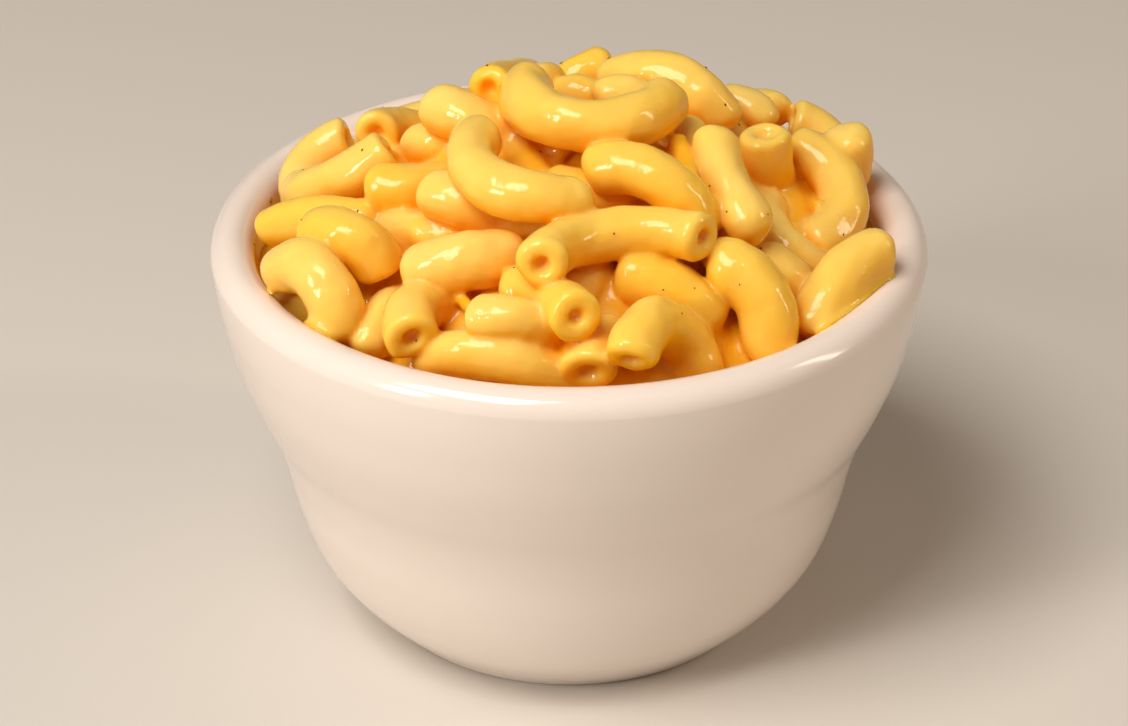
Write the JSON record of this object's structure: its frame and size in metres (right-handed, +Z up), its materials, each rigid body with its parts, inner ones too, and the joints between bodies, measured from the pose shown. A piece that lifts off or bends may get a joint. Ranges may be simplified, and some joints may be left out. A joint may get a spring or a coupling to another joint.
{
  "type": "macaroni and cheese in a bowl",
  "caption": "Elbow macaroni in cheese sauce heaped in a small white china bowl with a waisted belly, a thick rolled lip and a low foot ring.",
  "frame": {"origin": "middle of the bottom of the bowl's foot ring, on the surface it stands on", "axes": "+Z up, out of the bowl; -Y towards the side that is looked at; +X to that viewer's right"},
  "size_m": [0.098, 0.098, 0.0797],
  "materials": {
    "white_china": "warm white gloss glaze",
    "cheese_macaroni": "soft pasta wet with smooth yellow cheese sauce"
  },
  "bodies": {
    "root": {"bowl": "white_china", "macaroni_heap": "cheese_macaroni"}
  },
  "joints": []
}
